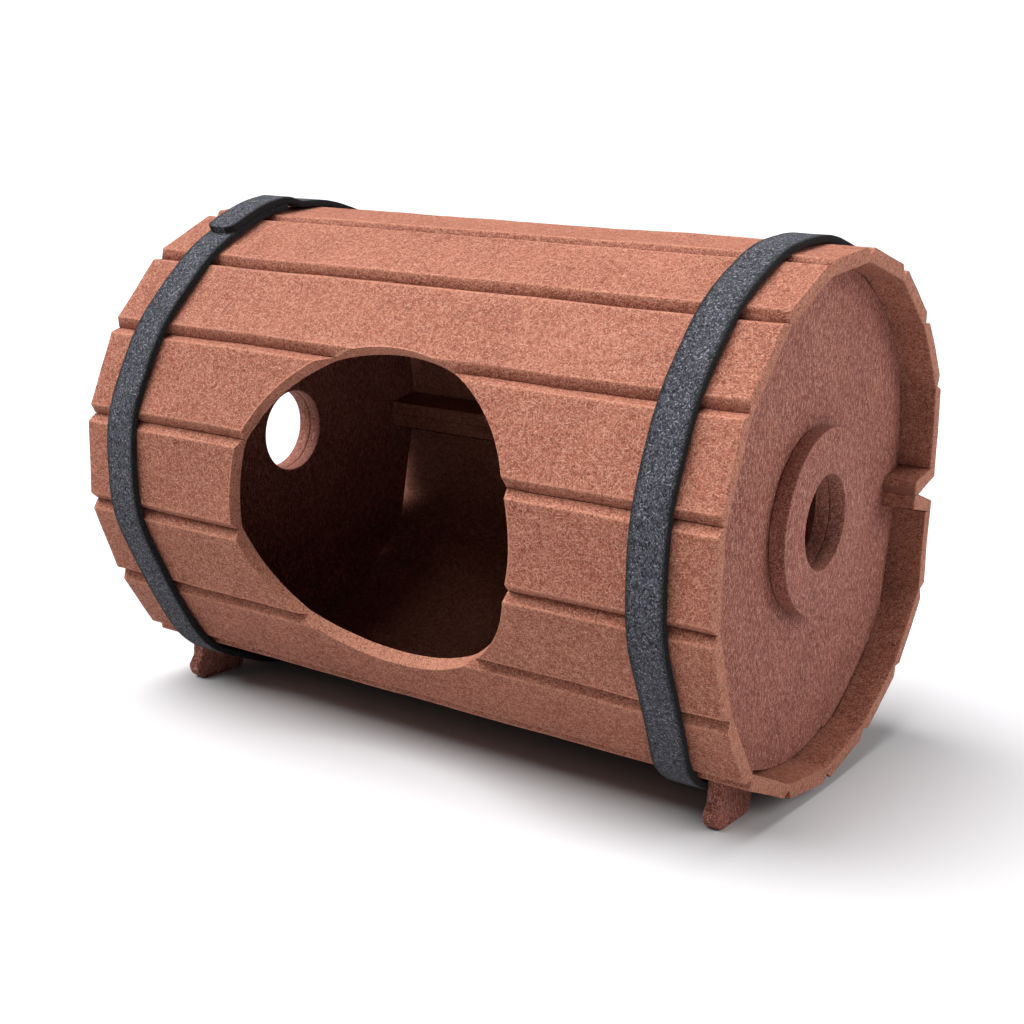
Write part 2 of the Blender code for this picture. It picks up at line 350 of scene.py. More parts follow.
def slit_points(side):
    """The fold line between a flap and its plank, open a little at the inside."""
    along = (FLAP_ROOT_Y - FLAP_TIP_Y, FLAP_ROOT_Z - FLAP_TIP_Z)
    length = math.hypot(*along)
    step = (along[0] / length, along[1] / length)
    root = (FLAP_ROOT_Y, FLAP_ROOT_Z)
    deep = (root[0] + step[0] * SLIT_DEPTH, root[1] + step[1] * SLIT_DEPTH)
    mouth = (root[0] - step[1] * SLIT_WIDTH, root[1] + step[0] * SLIT_WIDTH + SLIT_LIFT)
    return [(y, side * z) for y, z in (root, deep, mouth)]


def ray_length(outline, angle, closed=True):
    """Distance from the axis to an outline in one direction."""
    along = polar(angle, 1.0)
    count = len(outline) if closed else len(outline) - 1
    best = None
    for place in range(count):
        start = outline[place]
        end = outline[(place + 1) % len(outline)]
        edge = (end[0] - start[0], end[1] - start[1])
        cross = along[0] * edge[1] - along[1] * edge[0]
        if abs(cross) < 1e-12:
            continue
        distance = (start[0] * edge[1] - start[1] * edge[0]) / cross
        share = (start[0] * along[1] - start[1] * along[0]) / cross
        if distance > 0 and -1e-9 <= share <= 1 + 1e-9:
            best = distance if best is None else min(best, distance)
    return best


def turn_of(first, second, third):
    ahead = (second[0] - first[0], second[1] - first[1])
    beyond = (third[0] - first[0], third[1] - first[1])
    return ahead[0] * beyond[1] - ahead[1] * beyond[0]


def tight_outline():
    """Corners that a tight band round the barrel touches, as a convex outline."""
    points = sorted(plank_corners())
    chains = []
    for ordered in (points, points[::-1]):
        chain = []
        for point in ordered:
            while len(chain) > 1 and turn_of(chain[-2], chain[-1], point) <= 0:
                chain.pop()
            chain.append(point)
        chains.append(chain[:-1])
    return chains[0] + chains[1]


def inset(outline, depth):
    """Closed outline moved inwards by a small depth; its inside lies on its left."""
    points = np.array(outline)
    ahead = np.roll(points, -1, axis=0) - points
    ahead /= np.linalg.norm(ahead, axis=1)[:, None]
    left = np.stack([-ahead[:, 1], ahead[:, 0]], axis=1)
    normal = left + np.roll(left, 1, axis=0)
    length = np.linalg.norm(normal, axis=1)[:, None]
    normal = normal / np.maximum(length, 1e-6)
    return [tuple(p) for p in points + normal * depth]


def soft_stations(x_start, x_end, ease, spacing):
    """Places along X with the inset of the section there, so that both rims are soft."""
    stations = []
    for turn in (90, 60, 30, 0):
        angle = math.radians(turn)
        stations.append((x_start + ease * (1 - math.sin(angle)), ease * (1 - math.cos(angle))))
    inner_start = x_start + ease
    inner_end = x_end - ease
    parts = max(1, math.ceil((inner_end - inner_start) / spacing))
    for part in range(1, parts):
        stations.append((inner_start + (inner_end - inner_start) * part / parts, 0.0))
    for turn in (0, 30, 60, 90):
        angle = math.radians(turn)
        stations.append((x_end - ease * (1 - math.sin(angle)), ease * (1 - math.cos(angle))))
    return stations


def new_piece(name, points, faces, sharp=SHARP_EDGE):
    """Mesh object from points given as x, then y and z from the axis."""
    mesh = bpy.data.meshes.new(name)
    world = [(x, y + AXIS_Y, z + AXIS_HEIGHT) for x, y, z in points]
    mesh.from_pydata(world, [], faces)
    mesh.validate()
    mesh.update()
    mesh.shade_smooth()
    mesh.set_sharp_from_angle(angle=math.radians(sharp))
    piece = bpy.data.objects.new(name, mesh)
    bpy.context.scene.collection.objects.link(piece)
    return piece


def prism(name, section, x_start, x_end, ease, spacing):
    """Section drawn along X with soft rims."""
    points = []
    faces = []
    count = len(section)
    stations = soft_stations(x_start, x_end, ease, spacing)
    for x, depth in stations:
        loop = inset(section, depth) if depth > 0 else section
        points.extend((x, y, z) for y, z in loop)
    for row in range(len(stations) - 1):
        for place in range(count):
            after = (place + 1) % count
            near = row * count
            far = near + count
            faces.append((near + place, far + place, far + after, near + after))
    last = (len(stations) - 1) * count
    faces.append(tuple(range(count)))
    faces.append(tuple(reversed(range(last, last + count))))
    flip = [tuple(reversed(face)) for face in faces]
    return new_piece(name, points, flip)


def entrance_plug():
    """Round plug with radial sides, as the circle lies on the bent sheet."""
    steps = ENTRANCE_STEPS
    points = []
    faces = []
    for radius in (PLUG_INSIDE, PLUG_OUTSIDE):
        for step in range(steps):
            turn = 2 * math.pi * step / steps
            swing = math.degrees(ENTRANCE_RADIUS * math.sin(turn) / SHEET_RADIUS)
            y, z = polar(ENTRANCE_ANGLE + swing, radius)
            points.append((ENTRANCE_RADIUS * math.cos(turn), y, z))
    for radius in (PLUG_INSIDE, PLUG_OUTSIDE):
        y, z = polar(ENTRANCE_ANGLE, radius)
        points.append((0.0, y, z))
    for step in range(steps):
        after = (step + 1) % steps
        faces.append((step, after, 2 * steps))
        faces.append((steps + after, steps + step, 2 * steps + 1))
        faces.append((after, step, steps + step, steps + after))
    return outwards(new_piece("entrance_plug", points, faces))


def slot_plug():
    """A block for each foot's slot in the wall."""
    outside = HALF_LENGTH - DISC_RECESS + SLOT_CLEARANCE
    inside = outside - FELT_THICKNESS - 2 * SLOT_CLEARANCE
    near = FOOT_BACK - SLOT_CLEARANCE
    far = FOOT_FRONT + SLOT_CLEARANCE
    points = []
    faces = []
    for end in (-1, 1):
        for side in (-1, 1):
            first = len(points)
            for z in (SLOT_BOTTOM, SLOT_TOP):
                corners = ((inside, near), (outside, near), (outside, far), (inside, far))
                points.extend((end * x, side * y, z) for x, y in corners)
            box = [(3, 2, 1, 0), (4, 5, 6, 7)]
            box.extend((k, (k + 1) % 4, (k + 1) % 4 + 4, k + 4) for k in range(4))
            if end * side < 0:
                box = [face[::-1] for face in box]
            faces.extend(tuple(first + corner for corner in face) for face in box)
    return outwards(new_piece("slot_plug", points, faces))


def signed_volume(piece):
    mesh = piece.data
    mesh.calc_loop_triangles()
    points = np.array([v.co for v in mesh.vertices])
    triangles = np.array([t.vertices for t in mesh.loop_triangles])
    a, b, c = (points[triangles[:, k]] for k in range(3))
    return float((a * np.cross(b, c)).sum() / 6)


def outwards(piece):
    if signed_volume(piece) < 0:
        piece.data.flip_normals()
    return piece


def combine(piece, plug, operation):
    """Cut a plug out of a piece, or add it, for good, and drop the plug."""
    modifier = piece.modifiers.new("combine", "BOOLEAN")
    modifier.operation = operation
    modifier.solver = "EXACT"
    modifier.object = plug
    bpy.context.view_layer.update()
    graph = bpy.context.evaluated_depsgraph_get()
    carved = bpy.data.meshes.new_from_object(piece.evaluated_get(graph))
    piece.modifiers.remove(modifier)
    piece.data = carved
    piece.data.name = piece.name
    bpy.data.objects.remove(plug, do_unlink=True)
    piece.data.shade_smooth()
    piece.data.set_sharp_from_angle(angle=math.radians(SHARP_EDGE))


def uneven(piece, layers):
    """Move every point a little by smooth noise: rows of (size of the noise, reach)."""
    mesh = piece.data
    noise.seed_set(NOISE_SEED)
    for vertex in mesh.vertices:
        place = vertex.co.copy()
        for size, reach in layers:
            vertex.co += noise.noise_vector(place / size) * reach
    mesh.update()


def store(piece, name, kind, values):
    attribute = piece.data.attributes.new(name, kind, "POINT")
    field = "vector" if kind == "FLOAT_VECTOR" else "value"
    attribute.data.foreach_set(field, np.asarray(values, np.float32).ravel())


def points_of(piece):
    """Points from the barrel's axis, as x, y, z rows."""
    count = len(piece.data.vertices)
    points = np.zeros(count * 3, np.float32)
    piece.data.vertices.foreach_get("co", points)
    return points.reshape(-1, 3).astype(float) - np.array((0.0, AXIS_Y, AXIS_HEIGHT))


def mark_wall(piece):
    """Store each point's place on the sheet and nearness to a plank corner, for wear and painted
    highlight.
    """
    points = points_of(piece)
    angle = np.arctan2(points[:, 2], points[:, 1]) % (2 * math.pi)
    radius = np.hypot(points[:, 1], points[:, 2])
    place = np.stack([points[:, 0], angle * SHEET_RADIUS, radius], 1)
    store(piece, "sheet", "FLOAT_VECTOR", place)
    corners = np.array(plank_corners())
    apart = np.hypot(
        points[:, 1][:, None] - corners[:, 0][None, :],
        points[:, 2][:, None] - corners[:, 1][None, :],
    ).min(1)
    # Pale corner band, partly wear and partly painted highlight
    edge_tone_and_painted_light = np.clip(1 - apart / EDGE_BAND_REACH, 0, 1)
    store(piece, "edge_tone_and_painted_light", "FLOAT", edge_tone_and_painted_light)


def mark_flat(piece, order, edge_tone_and_painted_light):
    """Store a flat piece's own two directions first, and its rim's wear and painted highlight."""
    points = points_of(piece)
    store(piece, "sheet", "FLOAT_VECTOR", points[:, order])
    store(piece, "edge_tone_and_painted_light", "FLOAT", edge_tone_and_painted_light)


def declare(piece, node):
    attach(piece, "root")
    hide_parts(node)


def barrel_wall(material):
    section = wall_section()
    wall = prism("wall_felt", section, -HALF_LENGTH, HALF_LENGTH, RIM_EASE, WALL_STEP)
    outwards(wall)
    combine(wall, entrance_plug(), "DIFFERENCE")
    combine(wall, slot_plug(), "DIFFERENCE")
    uneven(wall, WALL_LAYERS)
    mark_wall(wall)
    wall.data.materials.clear()
    wall.data.materials.append(material)
    declare(wall, "barrel_wall")


def quarter(radius, x, inward, up):
    """Points of a plate's soft corner, from its flat side to its upright side."""
    points = []
    for turn in QUARTER_TURNS:
        swing = math.radians(turn)
        across = inward * PLATE_EASE * (1 - math.sin(swing))
        points.append((radius + across, x + up * PLATE_EASE * (1 - math.cos(swing))))
    return points


def plate(name, reach, x_start, x_end, rings, turns):
    """Flat ring with soft edges round the end hole; reach is its outer radius at each angle."""
    front = max(x_start, x_end)
    back = min(x_start, x_end)
    hole = HOLE_RADIUS
    ease = PLATE_EASE
    points = []
    for angle in turns:
        outer = reach(angle)
        across = [hole + ease + EDGE_BAND_REACH]
        for ring in range(1, rings):
            across.append(hole + ease + (outer - hole - 2 * ease) * ring / rings)
        across.append(outer - ease - EDGE_BAND_REACH)
        profile = quarter(hole, front, 1, -1)[::-1]
        profile.extend((radius, front) for radius in across)
        profile.extend(quarter(outer, front, -1, -1))
        profile.extend(quarter(outer, back, -1, 1)[::-1])
        profile.extend((radius, back) for radius in reversed(across))
        profile.extend(quarter(hole, back, 1, 1))
        points.extend((x, *polar(angle, radius)) for radius, x in profile)
    faces = tube(len(turns), len(profile), True)
    return outwards(new_piece(name, points, faces, SHARP_PLATE_EDGE))


def tube(rows, width, closed):
    """Faces between neighbouring rows of points, each row a closed loop."""
    faces = []
    for row in range(rows if closed else rows - 1):
        near = row * width
        far = ((row + 1) % rows) * width
        for place in range(width):
            after = (place + 1) % width
            faces.append((near + place, near + after, far + after, far + place))
    return faces


def disc_reach(angle):
    """Radius of the end disc at one angle, with the notch for the flaps."""
    inside = inner_outline()
    first = math.degrees(math.atan2(FLAP_ROOT_Z, FLAP_ROOT_Y))
    corner = (FLAP_ROOT_Y - NOTCH_CLEARANCE, FLAP_ROOT_Z + NOTCH_CLEARANCE)
    tip = (FLAP_TIP_Y - NOTCH_CLEARANCE, FLAP_TIP_Z + NOTCH_CLEARANCE)
    turned = min(angle, 360 - angle)
    corner_angle = math.degrees(math.atan2(corner[1], corner[0]))
    tip_angle = math.degrees(math.atan2(tip[1], tip[0]))
    if turned < tip_angle:
        return tip[0] / math.cos(math.radians(turned))
    if turned < corner_angle:
        return ray_length([tip, corner], turned, False)
    lengths = []
    for shift in range(-6, 7):
        tried = min(max(angle + 1.5 * shift, first), 360 - first)
        lengths.append(ray_length(inside, tried, False))
    return min(lengths) - DISC_CLEARANCE


def disc_turns():
    tip = math.degrees(math.atan2(FLAP_TIP_Z + NOTCH_CLEARANCE, FLAP_TIP_Y - NOTCH_CLEARANCE))
    corner = math.degrees(math.atan2(FLAP_ROOT_Z + NOTCH_CLEARANCE, FLAP_ROOT_Y - NOTCH_CLEARANCE))
    turns = [0.0, tip * 0.5, tip - 0.02, tip + 0.25, (tip + corner) / 2]
    turns += [corner - 0.1, corner + 0.02]
    around = []
    steps = 150
    for step in range(steps + 1):
        around.append(corner + 0.5 + (359.0 - 2 * corner) * step / steps)
    return turns + around + [360 - turn for turn in reversed(turns[1:])]


def ends(material):
    outside = HALF_LENGTH - DISC_RECESS
    inside = outside - FELT_THICKNESS
    for side, name in ((-1, "left"), (1, "right")):
        near = side * inside
        far = side * outside
        disc = plate("disc_felt_" + name, disc_reach, near, far, DISC_COLUMNS, disc_turns())
        for hand in (-1, 1):
            combine(disc, foot(hand, near, far), "UNION")
        finish_plate(disc, material, DISC_RADIUS)
        settle(disc)
        declare(disc, "end_disc_" + name)
        near = side * (outside + GAP)
        far = side * (outside + GAP + RING_THICKNESS)
        turns = [RING_STEP * step for step in range(round(360 / RING_STEP))]
        title = "ring_felt_" + name
        ring = plate(title, lambda angle: RING_RADIUS, near, far, RING_COLUMNS, turns)
        finish_plate(ring, material, RING_RADIUS)
        declare(ring, "end_ring_" + name)


def foot(side, x_start, x_end):
    """Tab of an end disc: through the wall, toe outwards, flat below; side is -1 in front."""
    floor = -AXIS_HEIGHT
    neck = floor + FOOT_NECK_HEIGHT
    points = [(FOOT_BACK, FOOT_ROOT), (FOOT_FRONT, FOOT_ROOT), (FOOT_FRONT, neck)]
    toe = FOOT_TOE - FOOT_FLAT_FRONT
    for step in range(9):
        turn = math.radians(11.25 * step)
        y = FOOT_FLAT_FRONT + toe * math.cos(turn)
        points.append((y, floor + FOOT_TOE_HEIGHT * (1 - math.sin(turn))))
    for step in range(5):
        turn = math.radians(22.5 * step)
        y = FOOT_BACK + FOOT_HEEL * (1 - math.sin(turn))
        points.append((y, floor + FOOT_HEEL * (1 - math.cos(turn))))
    outline = [(side * y, z) for y, z in points]
    if side > 0:
        outline.reverse()
    section = filled(outline, 0.003, True)
    low = min(x_start, x_end) + FOOT_SLACK
    high = max(x_start, x_end) - FOOT_SLACK
    return outwards(prism("foot", section, low, high, FOOT_EASE, 0.002))


def finish_plate(piece, material, outer):
    uneven(piece, PLATE_LAYERS)
    points = points_of(piece)
    radius = np.hypot(points[:, 1], points[:, 2])
    # Pale band at the hole and outer rim, partly wear and partly painted highlight
    apart = np.minimum(np.abs(radius - HOLE_RADIUS), np.abs(radius - outer))
    mark_flat(piece, [2, 1, 0], np.clip(1.4 - apart / EDGE_BAND_REACH, 0, 1))
    piece.data.materials.append(material)


def spread(values, reach):
    """Weighted mean of each value and its neighbours round a closed row."""
    total = np.zeros_like(values)
    weights = 0.0
    for shift in range(-reach, reach + 1):
        weight = reach + 1 - abs(shift)
        total += np.roll(values, shift) * weight
        weights += weight
    return total / weights


def band_radius(angles):
    """Radius of a stiff band's inner face: round over the corners and never inside them."""
    grid = np.arange(0, 360, BAND_GRID)
    outline = tight_outline()
    tight = np.array([ray_length(outline, angle) for angle in grid])
    soft = spread(tight, CORNER_ROWS)
    short = np.maximum(tight - soft, 0)
    shifts = range(-SHORT_ROWS, SHORT_ROWS + 1)
    short = np.max([np.roll(short, shift) for shift in shifts], axis=0)
    radius = soft + spread(short, SHORT_ROWS)
    return np.interp(angles % 360, np.append(grid, 360), np.append(radius, radius[0]))


def band_middle(course, angles):
    """Place of the band's middle along X, bending softly."""
    grid = np.arange(0, 360, BAND_GRID)
    middle = np.interp(grid, [row[0] for row in course], [row[1] for row in course])
    middle = spread(middle, COURSE_ROWS)
    return np.interp(angles % 360, np.append(grid, 360), np.append(middle, middle[0]))


def strap_rows(start):
    """Angle, inner radius and half width of each row, with a rounded tab at the end."""
    end = start + 360 + STRAP_OVERLAP
    ramp_start = start + 360 - STRAP_RAMP_SLACK - STRAP_RAMP
    angles = np.arange(start, end, STRAP_STEP)
    climb = np.clip((angles - ramp_start) / STRAP_RAMP, 0, 1)
    climb = climb * climb * (3 - 2 * climb)
    radii = band_radius(angles) + (GAP + climb * (STRAP_THICKNESS + STRAP_LAYER_GAP))
    half = STRAP_WIDTH / 2
    rows = []
    for angle, radius in zip(angles, radii):
        if math.radians(end - angle) * SHEET_RADIUS > TAB_CORNER:
            rows.append((angle, radius, half))
    for turn in range(0, 91, 9):
        swing = math.radians(turn)
        reach = TAB_CORNER * (1 - math.sin(swing))
        angle = end - math.degrees(reach / SHEET_RADIUS)
        width = half - TAB_CORNER * (1 - math.cos(swing))
        rows.append((angle, float(np.interp(angle, angles, radii)), width))
    return rows


def strap_profile(wide):
    """Section of a strap with soft corners: place across it, height above its inner face."""
    soft = min(STRAP_EASE, wide * 0.8)
    cut = soft * 0.3
    inner = []
    for part in range(STRAP_COLUMNS + 1):
        inner.append(-wide + soft + 2 * (wide - soft) * part / STRAP_COLUMNS)
    profile = [(x, 0.0) for x in inner]
    profile += [(wide - cut, cut), (wide, soft)]
    profile += [(wide, STRAP_THICKNESS - soft), (wide - cut, STRAP_THICKNESS - cut)]
    profile += [(-x, STRAP_THICKNESS) for x in inner]
    profile += [(-wide + cut, STRAP_THICKNESS - cut), (-wide, STRAP_THICKNESS - soft)]
    profile += [(-wide, soft), (-wide + cut, cut)]
    return profile


def strap(name, node, course, start, material):
    """One band of felt wound once round the barrel, its end laid over its start."""
    rows = strap_rows(start)
    middles = band_middle(course, np.array([row[0] for row in rows]))
    points = []
    for (angle, radius, wide), middle_x in zip(rows, middles):
        profile = strap_profile(wide)
        points.extend((middle_x + x, *polar(angle, radius + height)) for x, height in profile)
    width = len(profile)
    faces = tube(len(rows), width, False)
    faces.append(tuple(range(width)))
    last = (len(rows) - 1) * width
    faces.append(tuple(reversed(range(last, last + width))))
    band = outwards(new_piece(name, points, faces, SHARP_PLATE_EDGE))
    mark_strap(band, rows, width, middles)
    uneven(band, STRAP_LAYERS)
    band.data.materials.append(material)
    declare(band, node)


def mark_strap(band, rows, width, middles):
    """Place along and across the band, and its dark cut sides: darker felt with painted shade."""
    points = points_of(band)
    along = np.repeat([math.radians(row[0]) * SHEET_RADIUS for row in rows], width)
    radius = np.hypot(points[:, 1], points[:, 2])
    across = points[:, 0] - np.repeat(middles, width)
    store(band, "sheet", "FLOAT_VECTOR", np.stack([across, along, radius], 1))
    wide = np.repeat([row[2] for row in rows], width)
    side = (np.abs(across) - wide + STRAP_SIDE_FROM) / STRAP_SIDE_BLEND
    store(band, "edge_tone_and_painted_light", "FLOAT", np.clip(side, 0, 1))


def settle(piece):
    """Keep the underside flat on the floor."""
    for vertex in piece.data.vertices:
        if vertex.co.z < FLOOR_SNAP:
            vertex.co.z = 0.0


class Nodes:
    """Short calls for building one material's node tree."""

    def __init__(self, name):
        self.material = bpy.data.materials.new(name)
        self.material.use_nodes = True
        self.tree = self.material.node_tree
        self.shader = self.tree.nodes["Principled BSDF"]

    def link(self, source, target):
        self.tree.links.new(source, target)

    def put(self, socket, value):
        if isinstance(value, bpy.types.NodeSocket):
            self.link(value, socket)
        elif isinstance(value, tuple) and len(value) == 3 and socket.type == "RGBA":
            socket.default_value = (*value, 1.0)
        else:
            socket.default_value = value

    def attribute(self, name, output):
        node = self.tree.nodes.new("ShaderNodeAttribute")
        node.attribute_name = name
        return node.outputs[output]

    def math(self, operation, first, second=0.0):
        node = self.tree.nodes.new("ShaderNodeMath")
        node.operation = operation
        self.put(node.inputs[0], first)
        self.put(node.inputs[1], second)
        return node.outputs[0]

    def range(self, value, low, high, new_low=0.0, new_high=1.0):
        node = self.tree.nodes.new("ShaderNodeMapRange")
        for place, number in enumerate((value, low, high, new_low, new_high)):
            self.put(node.inputs[place], number)
        return node.outputs[0]

    def scaled(self, value, share):
        return self.math("MULTIPLY", value, share)

    def noise(self, vector, scale, detail=2.0, roughness=0.5):
        node = self.tree.nodes.new("ShaderNodeTexNoise")
        self.put(node.inputs["Vector"], vector)
        node.inputs["Scale"].default_value = scale
        node.inputs["Detail"].default_value = detail
        node.inputs["Roughness"].default_value = roughness
        return node.outputs["Fac"]

    def turned(self, vector, angle, scale):
        """Vector turned in the sheet's plane, then stretched."""
        spin = self.tree.nodes.new("ShaderNodeMapping")
        self.put(spin.inputs["Vector"], vector)
        spin.inputs["Rotation"].default_value = (0.0, 0.0, math.radians(angle))
        stretch = self.tree.nodes.new("ShaderNodeVectorMath")
        stretch.operation = "MULTIPLY"
        self.put(stretch.inputs[0], spin.outputs[0])
        stretch.inputs[1].default_value = scale
        return stretch.outputs[0]

    def surface(self, roughness, specular, sheen):
        self.shader.inputs["Roughness"].default_value = roughness
        self.shader.inputs["Specular IOR Level"].default_value = specular
        self.shader.inputs["Sheen Weight"].default_value = sheen
        self.shader.inputs["Sheen Roughness"].default_value = 0.6

    def mix(self, share, first, second):
        node = self.tree.nodes.new("ShaderNodeMix")
        node.data_type = "RGBA"
        self.put(node.inputs["Factor"], share)
        self.put(node.inputs["A"], first)
        self.put(node.inputs["B"], second)
        return node.outputs["Result"]

    def bump(self, height, strength, distance, normal=None):
        node = self.tree.nodes.new("ShaderNodeBump")
        node.inputs["Strength"].default_value = strength
        node.inputs["Distance"].default_value = distance
        self.put(node.inputs["Height"], height)
        if normal is not None:
            self.link(normal, node.inputs["Normal"])
        return node.outputs["Normal"]


def fibres(nodes, sheet, angles, width, length, low, high):
    """Thin streaks in several directions of the sheet, from 0 to 1."""
    total = None
    for place, angle in enumerate(angles):
        vector = nodes.turned(sheet, angle, (1 / length, 1 / width, 0.6 / width))
        shift = nodes.tree.nodes.new("ShaderNodeVectorMath")
        shift.operation = "ADD"
        nodes.put(shift.inputs[0], vector)
        shift.inputs[1].default_value = (7.3 * place, 3.1 * place, 1.7 * place)
        streak = nodes.range(nodes.noise(shift.outputs[0], 1.0, 1.0, 0.4), low, high)
        total = streak if total is None else nodes.math("MAXIMUM", total, streak)
    return total


def felt(name, tones, streak_angles, streak_share, edge_wear_and_highlight_share, wall=False):
    """Needled felt: mottled ground, light specks, a few fibres, pale edges of wear and painted
    highlight.

    tones are the dark, middle, light, fibre and pale edge colours, streak_share and
    edge_wear_and_highlight_share say how strongly the fibres and the pale edges show.
    """
    dark, middle, light, fibre, edge_wear_and_highlight_colour = tones
    broad_waves, clump_waves, grain_waves, speck_waves = FELT_WAVES
    nodes = Nodes(name)
    sheet = nodes.attribute("sheet", "Vector")
    broad = nodes.noise(sheet, broad_waves, 2.0, 0.5)
    clumps = nodes.noise(sheet, clump_waves, 2.0, 0.6)
    grain = nodes.noise(sheet, grain_waves, 2.0, 0.75)
    speck = nodes.noise(sheet, speck_waves, 0.0, 0.5)
    ground = nodes.scaled(broad, 0.14)
    ground = nodes.math("ADD", ground, nodes.scaled(clumps, 0.28))
    ground = nodes.math("ADD", ground, nodes.scaled(grain, 0.62))
    colour = nodes.mix(nodes.range(ground, 0.41, 0.52), dark, middle)
    colour = nodes.mix(nodes.range(ground, 0.52, 0.65), colour, light)
    streaks = fibres(nodes, sheet, streak_angles, *FELT_FIBRE)
    flecks = nodes.scaled(nodes.range(speck, 0.655, 0.775), 0.75)
    lift = nodes.math("MAXIMUM", nodes.scaled(streaks, streak_share), flecks)
    colour = nodes.mix(lift, colour, fibre)
    # Pale edge band: partly rubbed wear, partly painted highlight on corners and rims
    edge_tone_and_painted_light = nodes.attribute("edge_tone_and_painted_light", "Fac")
    if wall:
        edge_tone_and_painted_light = nodes.math("MAXIMUM", edge_tone_and_painted_light, rim_wear_and_highlight(nodes, sheet))
    patchy = nodes.math("MULTIPLY", edge_tone_and_painted_light, nodes.range(grain, 0.36, 0.60, 0.10, 1.0))
    colour = nodes.mix(nodes.scaled(patchy, edge_wear_and_highlight_share), colour, edge_wear_and_highlight_colour)
    nodes.link(colour, nodes.shader.inputs["Base Color"])
    lumps = nodes.bump(clumps, 0.5, 0.0016)
    height = nodes.math("ADD", nodes.scaled(grain, 0.7), nodes.scaled(streaks, 0.3))
    nodes.link(nodes.bump(height, 0.6, 0.0008, lumps), nodes.shader.inputs["Normal"])
    nodes.surface(0.72, 0.12, 0.02)
    nodes.shader.inputs["Sheen Tint"].default_value = (*fibre, 1.0)
    return nodes.material


def rim_wear_and_highlight(nodes, sheet):
    """Nearness to the entrance's edge and the end rims, on the flat sheet: wear and painted
    highlight.
    """
    split = nodes.tree.nodes.new("ShaderNodeSeparateXYZ")
    nodes.link(sheet, split.inputs[0])
    middle = math.radians(ENTRANCE_ANGLE) * SHEET_RADIUS
    across = split.outputs[0]
    along = nodes.math("SUBTRACT", split.outputs[1], middle)
    squares = [nodes.math("MULTIPLY", side, side) for side in (across, along)]
    distance = nodes.math("SQRT", nodes.math("ADD", *squares))
    apart = nodes.math("ABSOLUTE", nodes.math("SUBTRACT", distance, ENTRANCE_RADIUS))
    hole = nodes.range(apart, 0.0, 0.0012, 1.0, 0.0)
    inward = nodes.math("SUBTRACT", HALF_LENGTH, nodes.math("ABSOLUTE", across))
    rim = nodes.range(inward, 0.0004, 0.0016, 0.40, 0.0)
    return nodes.math("MAXIMUM", hole, rim)


def grey_felt():
    """Charcoal strap felt with light specks and nearly black cut sides: darker felt, painted
    shade.
    """
    clump_waves, grain_waves, speck_waves = STRAP_WAVES
    nodes = Nodes("grey_felt_fine")
    sheet = nodes.attribute("sheet", "Vector")
    clumps = nodes.noise(sheet, clump_waves, 2.0, 0.6)
    grain = nodes.noise(sheet, grain_waves, 2.0, 0.75)
    speck = nodes.noise(sheet, speck_waves, 0.0, 0.5)
    streaks = fibres(nodes, sheet, STRAP_FIBRE_TURNS, *STRAP_FIBRE)
    ground = nodes.math("ADD", nodes.scaled(clumps, 0.35), nodes.scaled(grain, 0.85))
    colour = nodes.mix(nodes.range(ground, 0.50, 0.74), GREY_DARK, GREY_LIGHT)
    specks = nodes.math("MAXIMUM", nodes.range(speck, 0.62, 0.78), nodes.scaled(streaks, 0.55))
    colour = nodes.mix(nodes.scaled(specks, 0.68), colour, GREY_SPECK)
    # Cut sides painted nearly black: the cut felt's darker colour with painted shade
    side = nodes.attribute("edge_tone_and_painted_light", "Fac")
    colour = nodes.mix(nodes.scaled(side, 0.93), colour, GREY_CUT_SIDE_AND_SHADE)
    nodes.link(colour, nodes.shader.inputs["Base Color"])
    height = nodes.math("ADD", nodes.scaled(grain, 0.7), nodes.scaled(streaks, 0.4))
    lumps = nodes.bump(clumps, 0.5, 0.0012)
    nodes.link(nodes.bump(height, 1.0, 0.0013, lumps), nodes.shader.inputs["Normal"])
    nodes.surface(0.95, 0.12, 0.04)
    return nodes.material


def stage():
    """Pale floor, white surroundings, a wide soft light, a weaker one beside it, weak fill."""
    scene = bpy.context.scene
    reach = FLOOR_REACH
    corners = [(-reach, -reach, 0), (reach, -reach, 0), (reach, reach, 0), (-reach, reach, 0)]
    floor = plain_mesh("floor", corners, [(0, 1, 2, 3)])
    nodes = Nodes("pale_floor")
    nodes.shader.inputs["Base Color"].default_value = (*FLOOR_COLOUR, 1.0)
    nodes.shader.inputs["Roughness"].default_value = 0.9
    nodes.shader.inputs["Specular IOR Level"].default_value = 0.1
    floor.data.materials.append(nodes.material)
    backdrop()
    world = bpy.data.worlds.new("studio")
    world.use_nodes = True
    background = world.node_tree.nodes["Background"]
    background.inputs["Color"].default_value = (1.0, 1.0, 1.0, 1.0)
    background.inputs["Strength"].default_value = FILL_STRENGTH
    scene.world = world
    soft_light("key", *KEY)
    soft_light("side", *SIDE)
    scene.view_settings.view_transform = "Standard"
    scene.view_settings.look = "None"
    scene.view_settings.exposure = 0.0


def soft_light(name, strength, spread_degrees, direction):
    light = bpy.data.lights.new(name, "SUN")
    light.angle = math.radians(spread_degrees)
    light.energy = strength
    lamp = bpy.data.objects.new(name, light)
    bpy.context.scene.collection.objects.link(lamp)
    lamp.rotation_mode = "QUATERNION"
    lamp.rotation_quaternion = Vector(direction).to_track_quat("Z", "Y")


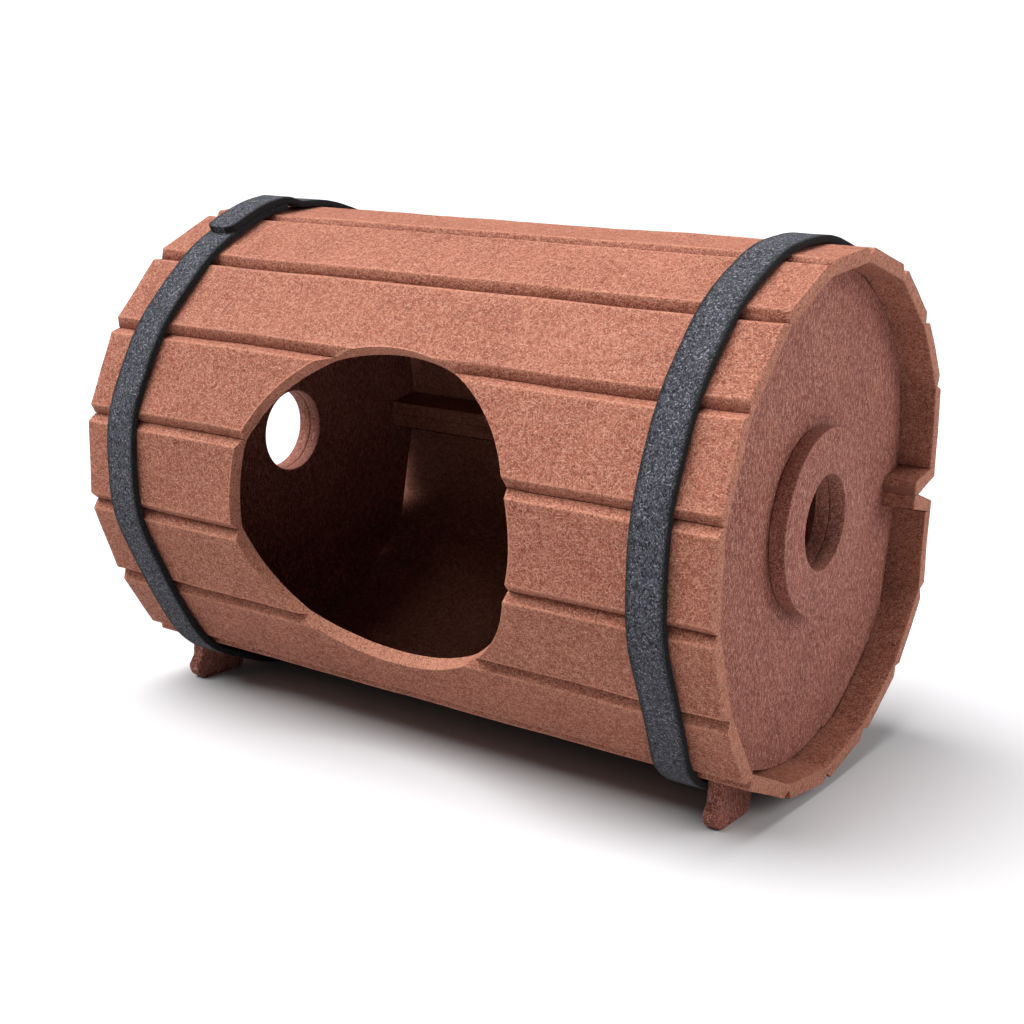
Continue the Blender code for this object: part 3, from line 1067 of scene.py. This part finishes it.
def plain_mesh(name, points, faces):
    mesh = bpy.data.meshes.new(name)
    mesh.from_pydata(points, [], faces)
    item = bpy.data.objects.new(name, mesh)
    bpy.context.scene.collection.objects.link(item)
    return item


def backdrop():
    """White shell round the studio that only the camera sees."""
    work = bmesh.new()
    bmesh.ops.create_uvsphere(work, u_segments=48, v_segments=24, radius=BACKDROP_RADIUS)
    mesh = bpy.data.meshes.new("backdrop")
    work.to_mesh(mesh)
    work.free()
    shell = bpy.data.objects.new("backdrop", mesh)
    bpy.context.scene.collection.objects.link(shell)
    nodes = Nodes("backdrop_white")
    nodes.shader.inputs["Base Color"].default_value = (0.0, 0.0, 0.0, 1.0)
    nodes.shader.inputs["Emission Color"].default_value = (1.0, 1.0, 1.0, 1.0)
    nodes.shader.inputs["Emission Strength"].default_value = 1.0
    mesh.materials.append(nodes.material)
    shell.visible_diffuse = False
    shell.visible_glossy = False
    shell.visible_transmission = False
    shell.visible_volume_scatter = False
    shell.visible_shadow = False
    return shell


def camera():
    data = bpy.data.cameras.new("camera")
    data.sensor_width = SENSOR_MM
    data.lens = LENS_MM
    data.clip_end = CAMERA_REACH
    item = bpy.data.objects.new("camera", data)
    bpy.context.scene.collection.objects.link(item)
    turn = Matrix.Rotation(math.radians(-CAMERA_YAW), 4, "Z")
    tilt = Matrix.Rotation(math.radians(90 + CAMERA_PITCH), 4, "X")
    roll = Matrix.Rotation(math.radians(CAMERA_ROLL), 4, "Z")
    place = Vector(CAMERA_PLACE) + Vector((0.0, AXIS_Y, AXIS_HEIGHT))
    item.matrix_world = Matrix.Translation(place) @ turn @ tilt @ roll
    bpy.context.scene.camera = item


def main():
    camera()
    stage()
    rust = felt("rust_felt_fine", RUST_TONES, WALL_FIBRE_TURNS, 0.48, 0.80, wall=True)
    end = felt("end_felt_fine", END_TONES, END_FIBRE_TURNS, 0.62, 0.45)
    grey = grey_felt()
    barrel_wall(rust)
    ends(end)
    strap("strap_felt_right", "strap_right", RIGHT_COURSE, STRAP_RIGHT_START, grey)
    strap("strap_felt_left", "strap_left", LEFT_COURSE, STRAP_LEFT_START, grey)


main()
